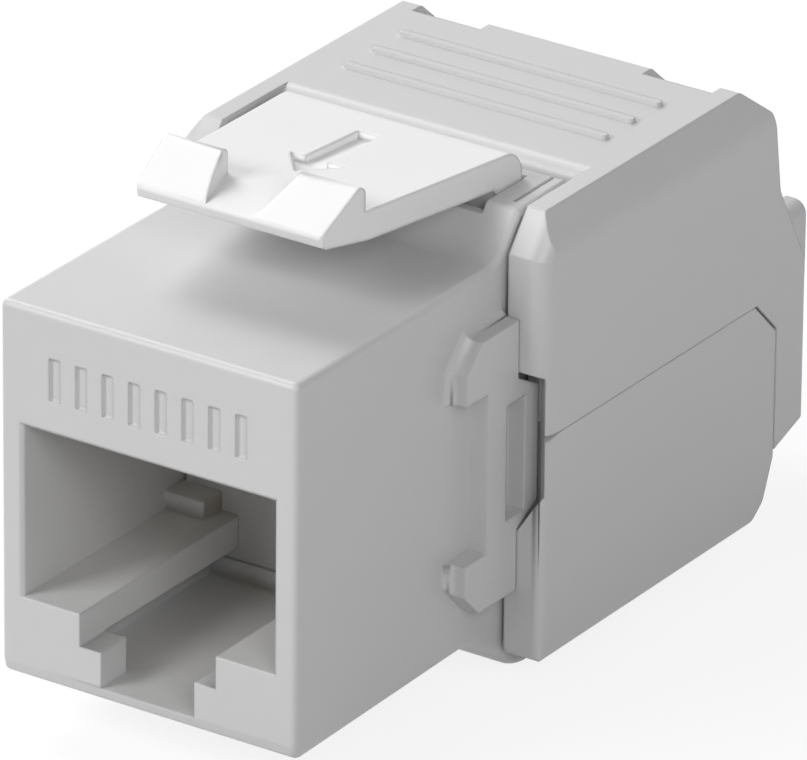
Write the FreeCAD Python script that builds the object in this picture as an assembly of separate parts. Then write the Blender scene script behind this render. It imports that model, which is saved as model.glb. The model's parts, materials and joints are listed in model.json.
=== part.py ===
import FreeCAD, Part
import math
import os

# Tool-free keystone jack, in millimetres, +Z up and +Y towards the cable.
# The origin is where the front face meets the underside, on the centre plane: the two faces that
# register in a panel's cut-out. The part is symmetric about x = 0 in all but its contact rows.

# Front housing
FACE_WIDTH = 14.5
FACE_HEIGHT = 16.5
FRONT_WALL = 1.8
SIDE_WALL = 1.1
ROOF_WALL = 1.3
FACE_ROUND = 0.3
FOOT_ROUND = 0.5

# Plug port, latch side down
PORT_CEILING = 11.15
PORT_DEPTH = 11.3
PORT_BEVEL = 0.15
LEDGE_HEIGHT = 3.5
LEDGE_GAP = 6.7
LEDGE_THICKNESS = 1.45
MOUTH_GAP = 4.6
CHANNEL_FLOOR = 0.45
CHANNEL_WIDTH = 9.6
STOP_WIDTH = 1.95
STOP_HEIGHT = 0.85
STOP_LENGTH = 1.3

# Raised deck behind the panel, and the fixed lower catch
DECK_RISE = 1.8
DECK_FRONT = 15.9
RISER_ANGLE = 52.0
RISER_ROUND = 1.6
DECK_GROOVE = 0.15
RIM_WIDTH = 0.6
REAR_UNDERSIDE = 0.3
CATCH_START = 12.1
CATCH_ANGLE = 31.0
CATCH_DROP = 2.45
CATCH_REAR = 17.65
CATCH_ROUND = 3.2
CATCH_TIP_ROUND = 0.5

# Side brackets, which stop against the back of the panel
BRACKET_FRONT = 10.85
BRACKET_REAR = 16.15
BRACKET_PROUD = 0.85
BRACKET_BLEND = 0.5
BLEND_ROOT = 0.35
BRACKET_TOP = 14.1
BRACKET_FOOT = 1.95
EAR_CHAMFER = 1.1
BAY_REAR = 12.4
BAY_TOP = 11.6
BAY_FOOT = 4.45
WINDOW_FRONT = 13.85
WINDOW_REAR = 15.2
WINDOW_TOP = 10.55
WINDOW_FOOT = 5.37
WEB_MIDDLE = 8.1
WEB_HALF_FRONT = 3.4
WEB_HALF_REAR = 2.6

# Snap latch
LATCH_REAR_WIDTH = 11.0
LATCH_TAPER = 0.0824
LATCH_NOSE_Y = 5.55
LATCH_NOSE_RISE = 1.8
LATCH_CHIN_Y = 5.85
LATCH_CHIN_RISE = 1.25
LATCH_NOSE_ROUND = 0.2
LATCH_KINK_Y = 8.6
LATCH_THICKNESS = 1.3
TOOTH_REAR = 8.4
TOOTH_HEIGHT = 1.4
TOOTH_ROUND = 0.35
TOOTH_GAP = 3.9
VALLEY_FRONT_GAP = 1.6
LATCH_REAR_RISE = 1.32
LATCH_PITCH = 4.57
LATCH_KNUCKLE_Y = 17.4
LATCH_KNUCKLE_ROUND = 1.25
LATCH_FOOT_FRONT = 16.7
LATCH_AXIS_Y = 17.8
LATCH_AXIS_DEPTH = 1.1
LATCH_BOSS_RADIUS = 0.9
LATCH_BOSS_ROUND = 0.88
TRUNNION_RADIUS = 0.5
TRUNNION_LENGTH = 0.85
LATCH_SIDE_CLEARANCE = 0.12
LATCH_SWEEP = 0.25
LATCH_RELIEF = 0.45

# Clamshell covers
COVER_WIDTH = 18.6
COVER_RISE = 0.2
COVER_BOTTOM = -1.15
COVER_WALL = 1.2
ARM_CLEARANCE = 0.25
ARM_FRONT = 14.65
ARM_CHAMFER_Y = 1.35
ARM_CHAMFER_Z = 1.65
UPPER_ARM_ROUND = 0.9
LOWER_ARM_ROUND = 0.5
NOTCH_CLEARANCE = 0.1
NOTCH_TOP_CLEARANCE = 0.25
NOTCH_MOUTH = 0.15
NOTCH_RAMP = 1.85
RECESS_REAR = 20.1
PLATE_ROUND = 0.8
SHOULDER_WIDTH = 0.92
SHOULDER_DROP = 1.5
SEAM_HEIGHT = 8.9
SEAM_GAP = 0.08
SEAM_LEAD = 0.08
STEP_GAP = 0.15
SEAM_STEP_Y = 30.85
SEAM_STEP = 1.6
LIP_FOOT = 1.75
LIP_GAP = 11.2
LIP_CLEARANCE = 0.3
REAR_EDGE = 34.75
REAR_SHOULDER_Y = 32.0
REAR_SHOULDER_Z = 17.3
REAR_TOP_EDGE = 30.6
REAR_WAIST_Y = 32.5
REAR_WAIST_Z = 13.6
REAR_BELLY_Z = 9.4
LOWER_HEEL_Y = 30.6
LOWER_HEEL_Z = 1.45
NOTCH_IN = 4.05
NOTCH_OUT = 7.45
NOTCH_DEPTH = 0.68
NOTCH_DROP = 1.0
RIB_LENGTH = 13.0
RIB_WIDTH = 0.4
RIB_HEIGHT = 0.18
RIB_END_ROUND = 0.19
RIB_FIRST = 23.5
RIB_PITCH = 2.03
RIB_COUNT = 3

# Cover hinges
HINGE_Y = 16.0
HINGE_INSET = 2.3
HINGE_PIN_RADIUS = 0.85
HINGE_PIN_LENGTH = 1.3
HINGE_END_CLEARANCE = 0.1
RUNNING_CLEARANCE = 0.05
SWING_RADIUS = 4.0

# Cable entry and cradle
CABLE_RADIUS = 3.75
CRADLE_WALL = 1.0
CRADLE_REAR = 41.9
CRADLE_DROP = 0.4
CRADLE_RIM_ROUND = 0.6
CRADLE_FOOT_ROUND = 1.0
RIM_CLEARANCE = 0.12
GRIP_RIB = 0.3
GRIP_PITCH = 2.2
GRIP_COUNT = 3

# Circuit board
BOARD_THICKNESS = 1.2
BOARD_CLEARANCE = 0.2
PIN_HOLE_CLEARANCE = 0.08

# Contact sled and spring contacts
SLED_FRONT = 2.35
SLED_WIDTH = 10.5
SLED_BACK_WALL = 1.7
SLED_CLEARANCE = 0.15
SLED_FOOT_CLEARANCE = 0.05
CONTACT_COUNT = 8
CONTACT_PITCH = 1.02
CONTACT_WIDTH = 0.42
CONTACT_THICKNESS = 0.32
CONTACT_ROWS = (12.0, 13.3)
CONTACT_BENDS = (0.45, 0.9)
CONTACT_FRONT = 2.7
CONTACT_TIP_Y = 12.0
CONTACT_TIP_Z = 8.1
PIN_TAIL = 0.35
GROOVE_CLEARANCE = 0.09
COMB_DEPTH = 1.0
COMB_HEIGHT = 3.2

# Terminal block and its insulation-displacement blades
BLOCK_WIDTH = 13.8
BLOCK_REAR = 27.6
BLOCK_INSET = 0.45
BLOCK_POST_LENGTH = 0.7
BLOCK_POST_WIDTH = 0.5
BLOCK_CLEARANCE = 0.15
WIRE_PITCH = 3.4
WIRES_PER_SIDE = 4
CHANNEL_CUT_WIDTH = 1.0
CHANNEL_CUT_DEPTH = 1.8
CHANNEL_CUT_START = 20.9
BLADE_FIRST = 22.6
BLADE_STAGGER = 2.2
BLADE_WIDTH = 2.0
BLADE_THICKNESS = 0.4
BLADE_SLOT = 0.3
BLADE_SLOT_DEPTH = 2.9
BLADE_PROUD = 0.2
BLADE_ROOT = 0.7
BLADE_PIN = 0.5
BLADE_PIN_RISE = 1.6
BLADE_PIN_SHORT = 0.1
BLADE_CLEARANCE = 0.05

# Stuffer ribs, which press the wires into the blades as the covers close
STUFFER_WIDTH = 0.7
STUFFER_REACH = 0.5
STUFFER_START = 21.4
STUFFER_BLADE_GAP = 0.7

# Pair separator
SEPARATOR_REAR = 30.3
SEPARATOR_THICKNESS = 0.9
SEPARATOR_HALF_WIDTH = 5.4
SEPARATOR_HALF_HEIGHT = 3.0
SEPARATOR_NOSE = 2.0
SEPARATOR_TIP = 0.5
PEG_WIDTH = 2.4
PEG_LENGTH = 1.2

# Derived from the sizes above
DECK_HEIGHT = FACE_HEIGHT + DECK_RISE
COVER_TOP = DECK_HEIGHT + COVER_RISE
LATCH_AXIS_Z = DECK_HEIGHT - LATCH_AXIS_DEPTH
LATCH_REAR_TOP = DECK_HEIGHT + LATCH_REAR_RISE
LATCH_NOSE_Z = DECK_HEIGHT + LATCH_NOSE_RISE
LATCH_CHIN_Z = DECK_HEIGHT + LATCH_CHIN_RISE
ARM_FACE = ARM_FRONT + NOTCH_CLEARANCE / 2
NOTCH_REAR = BRACKET_REAR + NOTCH_CLEARANCE
HALF_FACE = FACE_WIDTH / 2
HALF_PORT = HALF_FACE - SIDE_WALL
HALF_COVER = COVER_WIDTH / 2
ARM_INNER = HALF_FACE + ARM_CLEARANCE
BRACKET_FACE = HALF_FACE + BRACKET_PROUD
HOUSING_REAR = HINGE_Y + SWING_RADIUS
UPPER_HINGE_Z = COVER_TOP - HINGE_INSET
LOWER_HINGE_Z = COVER_BOTTOM + HINGE_INSET
UPPER_SEAM = SEAM_HEIGHT + SEAM_GAP / 2
LOWER_SEAM = SEAM_HEIGHT - SEAM_GAP / 2
POCKET_ROOF = FACE_HEIGHT - ROOF_WALL
POCKET_FLOOR = REAR_UNDERSIDE + SIDE_WALL
BOARD_FRONT = PORT_DEPTH + SLED_BACK_WALL
BOARD_REAR = BOARD_FRONT + BOARD_THICKNESS
SLED_ROOF = POCKET_ROOF - SLED_CLEARANCE
SLED_CEILING = PORT_CEILING + SLED_CLEARANCE
BLOCK_HALF_HEIGHT = POCKET_ROOF - BLOCK_INSET - SEAM_HEIGHT
BLOCK_TOP = SEAM_HEIGHT + BLOCK_HALF_HEIGHT
BLOCK_FOOT = SEAM_HEIGHT - BLOCK_HALF_HEIGHT
BLOCK_FRONT = BOARD_REAR + BLOCK_POST_LENGTH
FAR = 60.0
MARGIN = 1.0


def outline(place, corners):
    """Closed face through the corners; a third number on a corner is the radius that rounds it."""
    starts = []
    ends = []
    middles = []
    for index, corner in enumerate(corners):
        here = FreeCAD.Vector(corner[0], corner[1], 0)
        before = FreeCAD.Vector(*corners[index - 1][:2], 0) - here
        after = FreeCAD.Vector(*corners[(index + 1) % len(corners)][:2], 0) - here
        before.normalize()
        after.normalize()
        if len(corner) == 2:
            starts.append(here)
            ends.append(here)
            middles.append(None)
            continue
        half = before.getAngle(after) / 2
        reach = corner[2] / math.tan(half)
        bisector = before + after
        bisector.normalize()
        starts.append(here + before * reach)
        ends.append(here + after * reach)
        middles.append(here + bisector * (corner[2] / math.sin(half) - corner[2]))
    edges = []
    for index in range(len(corners)):
        if middles[index] is not None:
            arc = Part.Arc(place(starts[index]), place(middles[index]), place(ends[index]))
            edges.append(arc.toShape())
        following = (index + 1) % len(corners)
        if ends[index].distanceToPoint(starts[following]) > 1e-6:
            edges.append(Part.makeLine(place(ends[index]), place(starts[following])))
    return Part.Face(Part.Wire(edges))


def side_solid(corners, x_low, x_high):
    """Outline of (y, z) corners, extruded across the part."""
    face = outline(lambda point: FreeCAD.Vector(x_low, point.x, point.y), corners)
    return face.extrude(FreeCAD.Vector(x_high - x_low, 0, 0))


def front_solid(corners, y_low, y_high):
    """Outline of (x, z) corners, extruded rearwards."""
    face = outline(lambda point: FreeCAD.Vector(point.x, y_low, point.y), corners)
    return face.extrude(FreeCAD.Vector(0, y_high - y_low, 0))


def plan_solid(corners, z_low, z_high):
    """Outline of (x, y) corners, extruded upwards."""
    face = outline(lambda point: FreeCAD.Vector(point.x, point.y, z_low), corners)
    return face.extrude(FreeCAD.Vector(0, 0, z_high - z_low))


def block(x_low, x_high, y_low, y_high, z_low, z_high):
    corner = FreeCAD.Vector(x_low, y_low, z_low)
    return Part.makeBox(x_high - x_low, y_high - y_low, z_high - z_low, corner)


def cross_rod(y, z, radius, x_low, x_high):
    return Part.makeCylinder(radius, x_high - x_low, FreeCAD.Vector(x_low, y, z), FreeCAD.Vector(1, 0, 0))


def long_rod(z, radius, y_low, y_high):
    return Part.makeCylinder(radius, y_high - y_low, FreeCAD.Vector(0, y_low, z), FreeCAD.Vector(0, 1, 0))


def mirrored(shape):
    return shape.mirror(FreeCAD.Vector(0, 0, 0), FreeCAD.Vector(1, 0, 0))


def both_sides(shape):
    return [shape, mirrored(shape)]


def rounded(shape, radius, wanted):
    """Fillet every straight edge whose middle the test accepts."""
    edges = [edge for edge in shape.Edges if wanted(edge.CenterOfMass, edge.BoundBox)]
    return shape.makeFillet(radius, edges)


def near(value, target):
    return abs(value - target) < 1e-3


def contact_places():
    """Centre x of each spring contact, with its row: odd and even ones leave at two heights."""
    first = -CONTACT_PITCH * (CONTACT_COUNT - 1) / 2
    return [(first + CONTACT_PITCH * index, index % 2) for index in range(CONTACT_COUNT)]


def wire_places():
    """Centre x and blade y of each wire channel on one side of the terminal block."""
    first = -WIRE_PITCH * (WIRES_PER_SIDE - 1) / 2
    return [(first + WIRE_PITCH * index, BLADE_FIRST + BLADE_STAGGER * (index % 2))
            for index in range(WIRES_PER_SIDE)]


def housing_body():
    """Outer form: face block, riser and deck, and the ramped lower catch, rounded at the face."""
    riser_foot = DECK_FRONT - (DECK_HEIGHT - FACE_HEIGHT) / math.tan(math.radians(RISER_ANGLE))
    ramp_end = CATCH_START + CATCH_DROP / math.tan(math.radians(CATCH_ANGLE))
    body = side_solid([
        (0, 0),
        (0, FACE_HEIGHT),
        (riser_foot, FACE_HEIGHT, RISER_ROUND),
        (DECK_FRONT, DECK_HEIGHT, FACE_ROUND),
        (HOUSING_REAR, DECK_HEIGHT),
        (HOUSING_REAR, REAR_UNDERSIDE),
        (CATCH_REAR, REAR_UNDERSIDE),
        (CATCH_REAR, -CATCH_DROP, CATCH_TIP_ROUND),
        (ramp_end, -CATCH_DROP, CATCH_ROUND),
        (CATCH_START, 0, FOOT_ROUND),
    ], -HALF_FACE, HALF_FACE)
    body = rounded(body, FOOT_ROUND, lambda middle, box: near(middle.z, 0) and near(middle.y, 0))
    body = rounded(body, FACE_ROUND, lambda middle, box: near(middle.y, 0) or (
        near(abs(middle.x), HALF_FACE) and near(middle.z, FACE_HEIGHT) and box.YMax < riser_foot))
    corner = block(-HALF_FACE, HALF_FACE, HINGE_Y, HOUSING_REAR, UPPER_HINGE_Z, DECK_HEIGHT)
    sweep = cross_rod(HINGE_Y, UPPER_HINGE_Z, SWING_RADIUS, -HALF_FACE, HALF_FACE)
    return body.cut(corner.cut(sweep))


def side_bracket():
    """C-shaped bracket on the right side: two ears with a bay between them, and a window."""
    plate = side_solid([
        (BRACKET_FRONT, BRACKET_FOOT + EAR_CHAMFER),
        (BRACKET_FRONT, BAY_FOOT),
        (BAY_REAR, BAY_FOOT),
        (BAY_REAR, BAY_TOP),
        (BRACKET_FRONT, BAY_TOP),
        (BRACKET_FRONT, BRACKET_TOP - EAR_CHAMFER),
        (BRACKET_FRONT + EAR_CHAMFER, BRACKET_TOP),
        (ARM_FRONT, BRACKET_TOP),
        (ARM_FRONT, WEB_MIDDLE + WEB_HALF_FRONT),
        (BRACKET_REAR, WEB_MIDDLE + WEB_HALF_REAR),
        (BRACKET_REAR, WEB_MIDDLE - WEB_HALF_REAR),
        (ARM_FRONT, WEB_MIDDLE - WEB_HALF_FRONT),
        (ARM_FRONT, BRACKET_FOOT),
        (BRACKET_FRONT + EAR_CHAMFER, BRACKET_FOOT),
    ], HALF_FACE, BRACKET_FACE)
    root = block(HALF_FACE - BLEND_ROOT, HALF_FACE, BRACKET_FRONT - MARGIN, ARM_FRONT + MARGIN,
                 BRACKET_FOOT - MARGIN, BRACKET_TOP + MARGIN)
    plate = rounded(plate.fuse(root), BRACKET_BLEND, lambda middle, box: (
        near(middle.x, HALF_FACE) and near(box.XLength, 0)
        and BRACKET_FRONT - BRACKET_BLEND < middle.y < ARM_FRONT - BRACKET_BLEND
        and (BAY_TOP + BRACKET_BLEND / 2 < middle.z < BRACKET_TOP + BRACKET_BLEND / 2
             or near(middle.y, BRACKET_FRONT))))
    window = block(HALF_FACE, BRACKET_FACE, WINDOW_FRONT, WINDOW_REAR, WINDOW_FOOT, WINDOW_TOP)
    return plate.cut(window)


def front_housing():
    housing = housing_body()
    half_ledge = LEDGE_GAP / 2
    half_mouth = MOUTH_GAP / 2
    half_channel = CHANNEL_WIDTH / 2
    shelf_foot = LEDGE_HEIGHT - LEDGE_THICKNESS
    mouth = front_solid([
        (-HALF_PORT, PORT_CEILING), (-HALF_PORT, LEDGE_HEIGHT), (-half_ledge, LEDGE_HEIGHT),
        (-half_ledge, shelf_foot), (-half_mouth, shelf_foot), (-half_mouth, CHANNEL_FLOOR),
        (half_mouth, CHANNEL_FLOOR), (half_mouth, shelf_foot), (half_ledge, shelf_foot),
        (half_ledge, LEDGE_HEIGHT), (HALF_PORT, LEDGE_HEIGHT), (HALF_PORT, PORT_CEILING),
    ], -MARGIN, FRONT_WALL)
    cavity = front_solid([
        (-HALF_PORT, PORT_CEILING), (-HALF_PORT, LEDGE_HEIGHT), (-half_ledge, LEDGE_HEIGHT),
        (-half_ledge, shelf_foot), (-half_channel, shelf_foot), (-half_channel, CHANNEL_FLOOR),
        (half_channel, CHANNEL_FLOOR), (half_channel, shelf_foot), (half_ledge, shelf_foot),
        (half_ledge, LEDGE_HEIGHT), (HALF_PORT, LEDGE_HEIGHT), (HALF_PORT, PORT_CEILING),
    ], FRONT_WALL, PORT_DEPTH)
    half_bevel = HALF_PORT + PORT_BEVEL
    bevel_back = outline(lambda point: FreeCAD.Vector(point.x, PORT_BEVEL, point.y), [
        (-HALF_PORT, LEDGE_HEIGHT), (HALF_PORT, LEDGE_HEIGHT), (HALF_PORT, PORT_CEILING),
        (-HALF_PORT, PORT_CEILING)])
    bevel_face = outline(lambda point: FreeCAD.Vector(point.x, 0, point.y), [
        (-half_bevel, LEDGE_HEIGHT), (half_bevel, LEDGE_HEIGHT),
        (half_bevel, PORT_CEILING + PORT_BEVEL), (-half_bevel, PORT_CEILING + PORT_BEVEL)])
    bevel = Part.makeLoft([bevel_face.OuterWire, bevel_back.OuterWire], True, True)
    half_sled = SLED_WIDTH / 2 + SLED_CLEARANCE
    sled_room = block(-half_sled, half_sled, SLED_FRONT - SLED_CLEARANCE, PORT_DEPTH,
                      PORT_CEILING, POCKET_ROOF)
    pocket = block(-HALF_PORT, HALF_PORT, PORT_DEPTH, HOUSING_REAR, POCKET_FLOOR, POCKET_ROOF)
    housing = housing.cut([mouth, cavity, bevel, sled_room, pocket, *latch_seat()])
    stop = block(HALF_PORT - STOP_WIDTH, HALF_PORT, PORT_DEPTH - STOP_LENGTH, PORT_DEPTH,
                 LEDGE_HEIGHT, LEDGE_HEIGHT + STOP_HEIGHT)
    pins = [cross_rod(HINGE_Y, z, HINGE_PIN_RADIUS, HALF_FACE, HALF_FACE + HINGE_PIN_LENGTH)
            for z in (UPPER_HINGE_Z, LOWER_HINGE_Z)]
    extras = []
    for piece in (stop, side_bracket(), *pins):
        extras += both_sides(piece)
    return housing.fuse(extras).removeSplitter()


def latch_seat():
    """Recess in the deck for the latch's root, its trunnion bores, and the line round each pad."""
    half_room = LATCH_REAR_WIDTH / 2 + LATCH_SIDE_CLEARANCE
    room_front = LATCH_FOOT_FRONT - LATCH_SWEEP - LATCH_BOSS_RADIUS / 2
    room_rear = LATCH_KNUCKLE_Y + LATCH_KNUCKLE_ROUND + LATCH_SWEEP
    floor = LATCH_AXIS_Z - LATCH_BOSS_RADIUS - LATCH_SIDE_CLEARANCE
    room = block(-half_room, half_room, room_front, room_rear, floor, DECK_HEIGHT + MARGIN)
    relief = block(-half_room, half_room, DECK_FRONT - MARGIN - LATCH_SWEEP, room_front,
                   DECK_HEIGHT - LATCH_RELIEF, DECK_HEIGHT + MARGIN)
    bore_end = LATCH_REAR_WIDTH / 2 + TRUNNION_LENGTH + LATCH_SIDE_CLEARANCE
    bore = cross_rod(LATCH_AXIS_Y, LATCH_AXIS_Z, TRUNNION_RADIUS + RUNNING_CLEARANCE,
                     -bore_end, bore_end)
    groove_outer = HALF_FACE - RIM_WIDTH
    groove = block(groove_outer - DECK_GROOVE, groove_outer, DECK_FRONT + RIM_WIDTH, HOUSING_REAR,
                   DECK_HEIGHT - DECK_GROOVE, DECK_HEIGHT + MARGIN)
    return [room, relief, bore, *both_sides(groove)]


def snap_latch():
    """One-piece latch: tapered bar with two ramped teeth, rounded knuckle, boss and trunnions."""
    half_rear = LATCH_REAR_WIDTH / 2
    slope = math.tan(math.radians(LATCH_PITCH))
    bar_front_top = LATCH_REAR_TOP + slope * (LATCH_KNUCKLE_Y - TOOTH_REAR)
    underside_rear = LATCH_REAR_TOP - LATCH_THICKNESS + slope * (LATCH_KNUCKLE_Y - LATCH_FOOT_FRONT)
    underside_kink = LATCH_REAR_TOP - LATCH_THICKNESS + slope * (LATCH_KNUCKLE_Y - LATCH_KINK_Y)
    boss_rear = LATCH_AXIS_Y + LATCH_BOSS_RADIUS
    boss_front = LATCH_AXIS_Y - LATCH_BOSS_RADIUS
    profile = [
        (LATCH_CHIN_Y, LATCH_CHIN_Z, LATCH_NOSE_ROUND),
        (LATCH_NOSE_Y, LATCH_NOSE_Z, LATCH_NOSE_ROUND),
        (TOOTH_REAR, bar_front_top + TOOTH_HEIGHT, TOOTH_ROUND),
        (TOOTH_REAR, bar_front_top),
        (LATCH_KNUCKLE_Y + LATCH_KNUCKLE_ROUND, LATCH_REAR_TOP, LATCH_KNUCKLE_ROUND),
        (boss_rear, LATCH_AXIS_Z - LATCH_BOSS_RADIUS, LATCH_BOSS_ROUND),
        (boss_front, LATCH_AXIS_Z - LATCH_BOSS_RADIUS, LATCH_BOSS_ROUND),
        (boss_front, LATCH_AXIS_Z + LATCH_BOSS_RADIUS),
        (LATCH_FOOT_FRONT, underside_rear),
        (LATCH_KINK_Y, underside_kink),
    ]
    bar = side_solid(profile, -half_rear, half_rear)
    half_nose = half_rear - LATCH_TAPER * (LATCH_KNUCKLE_Y - LATCH_NOSE_Y)
    plan = plan_solid([
        (-half_nose, LATCH_NOSE_Y, FACE_ROUND), (half_nose, LATCH_NOSE_Y, FACE_ROUND),
        (half_rear, LATCH_KNUCKLE_Y), (half_rear, LATCH_KNUCKLE_Y + 2 * LATCH_KNUCKLE_ROUND),
        (-half_rear, LATCH_KNUCKLE_Y + 2 * LATCH_KNUCKLE_ROUND), (-half_rear, LATCH_KNUCKLE_Y),
    ], 0, FAR)
    bar = bar.common(plan)
    half_gap = TOOTH_GAP / 2
    half_front_gap = VALLEY_FRONT_GAP / 2
    valley_foot = outline(lambda point: FreeCAD.Vector(point.x, LATCH_NOSE_Y - MARGIN, point.y), [
        (-half_front_gap, LATCH_NOSE_Z), (half_front_gap, LATCH_NOSE_Z),
        (half_gap, bar_front_top + 2 * TOOTH_HEIGHT), (-half_gap, bar_front_top + 2 * TOOTH_HEIGHT)])
    valley_rear = outline(lambda point: FreeCAD.Vector(point.x, TOOTH_REAR, point.y), [
        (-half_gap, bar_front_top), (half_gap, bar_front_top),
        (half_gap, bar_front_top + 2 * TOOTH_HEIGHT), (-half_gap, bar_front_top + 2 * TOOTH_HEIGHT)])
    valley = Part.makeLoft([valley_foot.OuterWire, valley_rear.OuterWire], True, True)
    trunnion_end = half_rear + TRUNNION_LENGTH
    trunnions = cross_rod(LATCH_AXIS_Y, LATCH_AXIS_Z, TRUNNION_RADIUS, -trunnion_end, trunnion_end)
    return bar.cut(valley).fuse(trunnions).removeSplitter()


def hinge_bores(z):
    """Blind bores in the inner faces of both arms."""
    end = HALF_FACE + HINGE_PIN_LENGTH + HINGE_END_CLEARANCE
    bore = cross_rod(HINGE_Y, z, HINGE_PIN_RADIUS + RUNNING_CLEARANCE, HALF_FACE, end)
    return both_sides(bore)


def stuffers(plate_z, tip_z):
    """Ribs that hang from a cover's plate into the wire channels, either side of each blade."""
    ribs = []
    low = min(plate_z, tip_z)
    high = max(plate_z, tip_z)
    for x, blade_y in wire_places():
        for start, end in ((STUFFER_START, blade_y - STUFFER_BLADE_GAP),
                           (blade_y + STUFFER_BLADE_GAP, BLOCK_REAR)):
            ribs.append(block(x - STUFFER_WIDTH / 2, x + STUFFER_WIDTH / 2, start, end, low, high))
    return ribs


def arm_plan(arm_round, rear):
    """Plan of a cover, with the upright corners at the front of the arms and at the rear rounded."""
    return plan_solid([
        (-HALF_COVER, ARM_FACE, arm_round), (HALF_COVER, ARM_FACE, arm_round),
        (HALF_COVER, rear, FACE_ROUND), (-HALF_COVER, rear, FACE_ROUND)], -FAR, FAR)


def bracket_notch(side_corners):
    """Room in the right arm for the bracket's web: open forwards, its rear wall slanting outwards."""
    plan = plan_solid([
        (HALF_FACE, 0), (HALF_COVER + MARGIN, 0), (HALF_COVER + MARGIN, ARM_FACE + NOTCH_MOUTH),
        (HALF_COVER, ARM_FACE + NOTCH_MOUTH), (BRACKET_FACE + NOTCH_CLEARANCE, NOTCH_REAR),
        (HALF_FACE, NOTCH_REAR)], -FAR, FAR)
    return side_solid(side_corners, HALF_FACE, HALF_COVER + MARGIN).common(plan)


def upper_cover():
    shape = side_solid([
        (HINGE_Y, UPPER_SEAM),
        (ARM_FACE, UPPER_SEAM + SEAM_LEAD),
        (ARM_FACE, COVER_TOP - ARM_CHAMFER_Z),
        (ARM_FACE + ARM_CHAMFER_Y, COVER_TOP),
        (REAR_TOP_EDGE, COVER_TOP, FACE_ROUND),
        (REAR_SHOULDER_Y, REAR_SHOULDER_Z, FACE_ROUND),
        (REAR_WAIST_Y, REAR_WAIST_Z, 1),
        (REAR_EDGE, REAR_BELLY_Z, 1),
        (REAR_EDGE, LIP_FOOT + SEAM_STEP / 2, FACE_ROUND),
        (SEAM_STEP_Y + SEAM_STEP, LIP_FOOT),
        (SEAM_STEP_Y + SEAM_STEP, UPPER_SEAM - SEAM_STEP),
        (SEAM_STEP_Y, UPPER_SEAM),
    ], -HALF_COVER, HALF_COVER)
    top_half = HALF_COVER - SHOULDER_WIDTH
    section = front_solid([
        (-HALF_COVER, -FAR),
        (HALF_COVER, -FAR),
        (HALF_COVER, COVER_TOP - SHOULDER_DROP, SHOULDER_DROP),
        (top_half, COVER_TOP),
        (-top_half, COVER_TOP),
        (-HALF_COVER, COVER_TOP - SHOULDER_DROP, SHOULDER_DROP),
    ], 0, FAR)
    brow = arm_plan(UPPER_ARM_ROUND, FAR)
    brow.rotate(FreeCAD.Vector(0, ARM_FACE, COVER_TOP - ARM_CHAMFER_Z), FreeCAD.Vector(1, 0, 0),
                -math.degrees(math.atan2(ARM_CHAMFER_Y, ARM_CHAMFER_Z)))
    cover = shape.common(section).common(arm_plan(UPPER_ARM_ROUND, REAR_EDGE)).common(brow)
    inner = HALF_COVER - COVER_WALL
    ceiling = COVER_TOP - COVER_WALL
    throat = block(-ARM_INNER, ARM_INNER, 0, RECESS_REAR, -FAR, FAR)
    room = side_solid([
        (RECESS_REAR, -FAR),
        (RECESS_REAR, ceiling),
        (REAR_SHOULDER_Y - COVER_WALL, ceiling),
        (REAR_WAIST_Y - COVER_WALL, REAR_WAIST_Z),
        (REAR_EDGE - COVER_WALL, REAR_BELLY_Z),
        (REAR_EDGE - COVER_WALL, -FAR),
    ], -inner, inner)
    cable = long_rod(SEAM_HEIGHT, CABLE_RADIUS, RECESS_REAR, FAR)
    lip_slot = block(-LIP_GAP / 2, LIP_GAP / 2, RECESS_REAR, FAR, -FAR,
                     SEAM_HEIGHT - CRADLE_DROP + RIM_CLEARANCE)
    notch = block(NOTCH_IN, NOTCH_OUT, REAR_TOP_EDGE - NOTCH_DEPTH, FAR, COVER_TOP - NOTCH_DROP, FAR)
    web_top = WEB_MIDDLE + NOTCH_TOP_CLEARANCE
    web_room = bracket_notch([
        (ARM_FACE - MARGIN, WEB_MIDDLE),
        (ARM_FACE - MARGIN, web_top + WEB_HALF_FRONT),
        (ARM_FACE, web_top + WEB_HALF_FRONT),
        (NOTCH_REAR, web_top + WEB_HALF_REAR),
        (NOTCH_REAR, WEB_MIDDLE),
    ])
    cover = cover.cut([throat, room, cable, lip_slot, *both_sides(notch), *both_sides(web_room),
                       *hinge_bores(UPPER_HINGE_Z)])
    cover = rounded(cover, PLATE_ROUND, lambda middle, box: (
        near(middle.y, RECESS_REAR) and near(middle.z, COVER_TOP) and box.XLength > NOTCH_OUT))
    ribs = []
    for index in range(RIB_COUNT):
        y = RIB_FIRST + RIB_PITCH * index
        half = RIB_LENGTH / 2
        rib = plan_solid([
            (-half, y - RIB_WIDTH / 2, RIB_END_ROUND), (half, y - RIB_WIDTH / 2, RIB_END_ROUND),
            (half, y + RIB_WIDTH / 2, RIB_END_ROUND), (-half, y + RIB_WIDTH / 2, RIB_END_ROUND),
        ], ceiling, COVER_TOP + RIB_HEIGHT)
        ribs.append(rib)
    return cover.fuse(ribs + stuffers(ceiling, BLOCK_TOP - STUFFER_REACH)).removeSplitter()


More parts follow.
